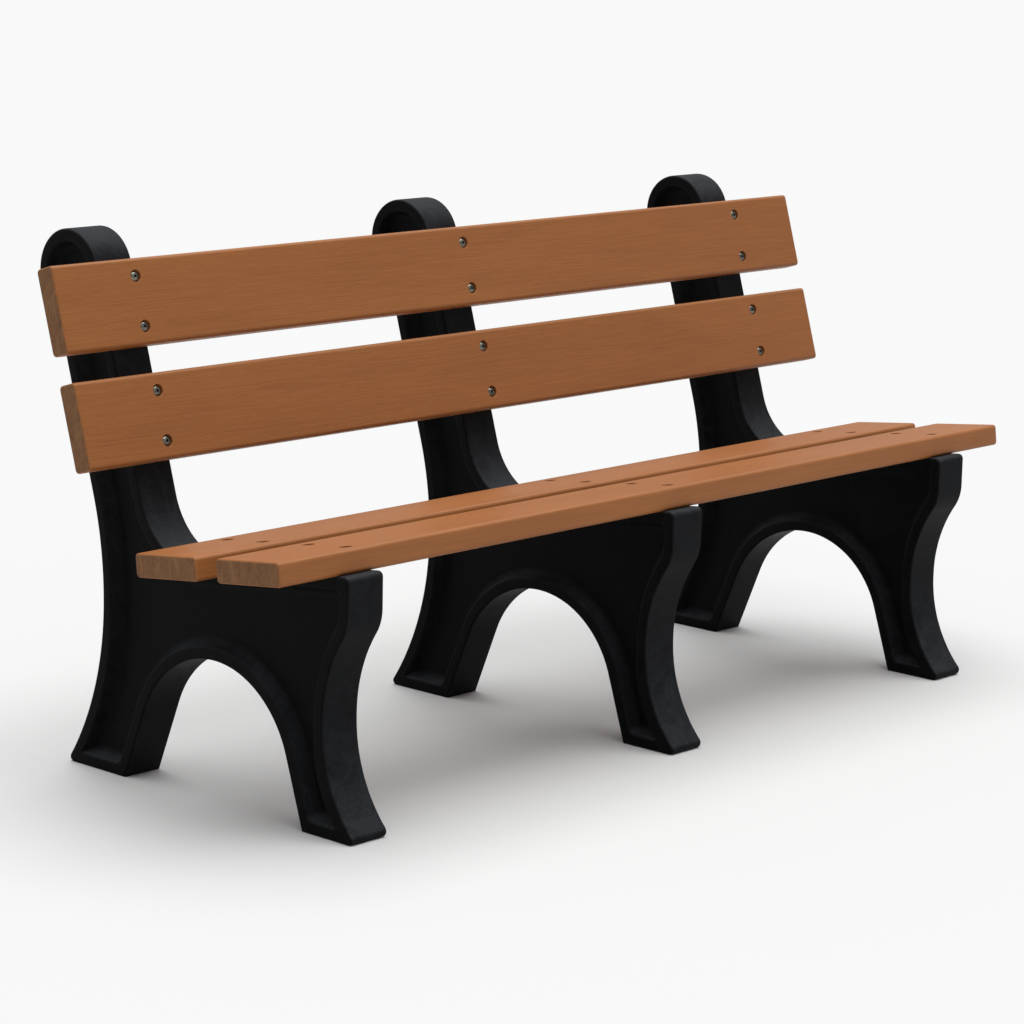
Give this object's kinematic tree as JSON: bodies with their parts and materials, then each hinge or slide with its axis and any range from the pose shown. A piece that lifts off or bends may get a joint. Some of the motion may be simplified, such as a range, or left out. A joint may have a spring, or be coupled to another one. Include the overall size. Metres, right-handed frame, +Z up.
{
  "type": "park bench",
  "caption": "Park bench with moulded recycled plastic frames and flat timber-look boards for the seat and the reclined back, screwed together; stands free on arched legs.",
  "frame": {"origin": "on the ground, at the middle of the bench's length and depth", "axes": "+X along the bench to the sitter's left, -Y towards the front, +Z up"},
  "size_m": [1.8288, 0.731, 0.8778],
  "materials": {
    "frame": "black recycled plastic, moulded, with a faint mottled flow pattern",
    "board": "cedar brown plastic lumber with fine embossed wood grain along the board",
    "screw": "plain steel, slightly weathered"
  },
  "bodies": {
    "root": {"frame_left": "frame", "frame_middle": "frame", "frame_right": "frame", "back_board_upper": "board", "back_board_lower": "board", "seat_board_front": "board", "seat_board_rear": "board", "screw_back_board_upper_left_low": "screw", "screw_back_board_upper_left_high": "screw", "screw_back_board_upper_middle_low": "screw", "screw_back_board_upper_middle_high": "screw", "screw_back_board_upper_right_low": "screw", "screw_back_board_upper_right_high": "screw", "screw_back_board_lower_left_low": "screw", "screw_back_board_lower_left_high": "screw", "screw_back_board_lower_middle_low": "screw", "screw_back_board_lower_middle_high": "screw", "screw_back_board_lower_right_low": "screw", "screw_back_board_lower_right_high": "screw", "screw_seat_board_front_left_low": "screw", "screw_seat_board_front_left_high": "screw", "screw_seat_board_front_middle_low": "screw", "screw_seat_board_front_middle_high": "screw", "screw_seat_board_front_right_low": "screw", "screw_seat_board_front_right_high": "screw", "screw_seat_board_rear_left_low": "screw", "screw_seat_board_rear_left_high": "screw", "screw_seat_board_rear_middle_low": "screw", "screw_seat_board_rear_middle_high": "screw", "screw_seat_board_rear_right_low": "screw", "screw_seat_board_rear_right_high": "screw"}
  },
  "joints": []
}
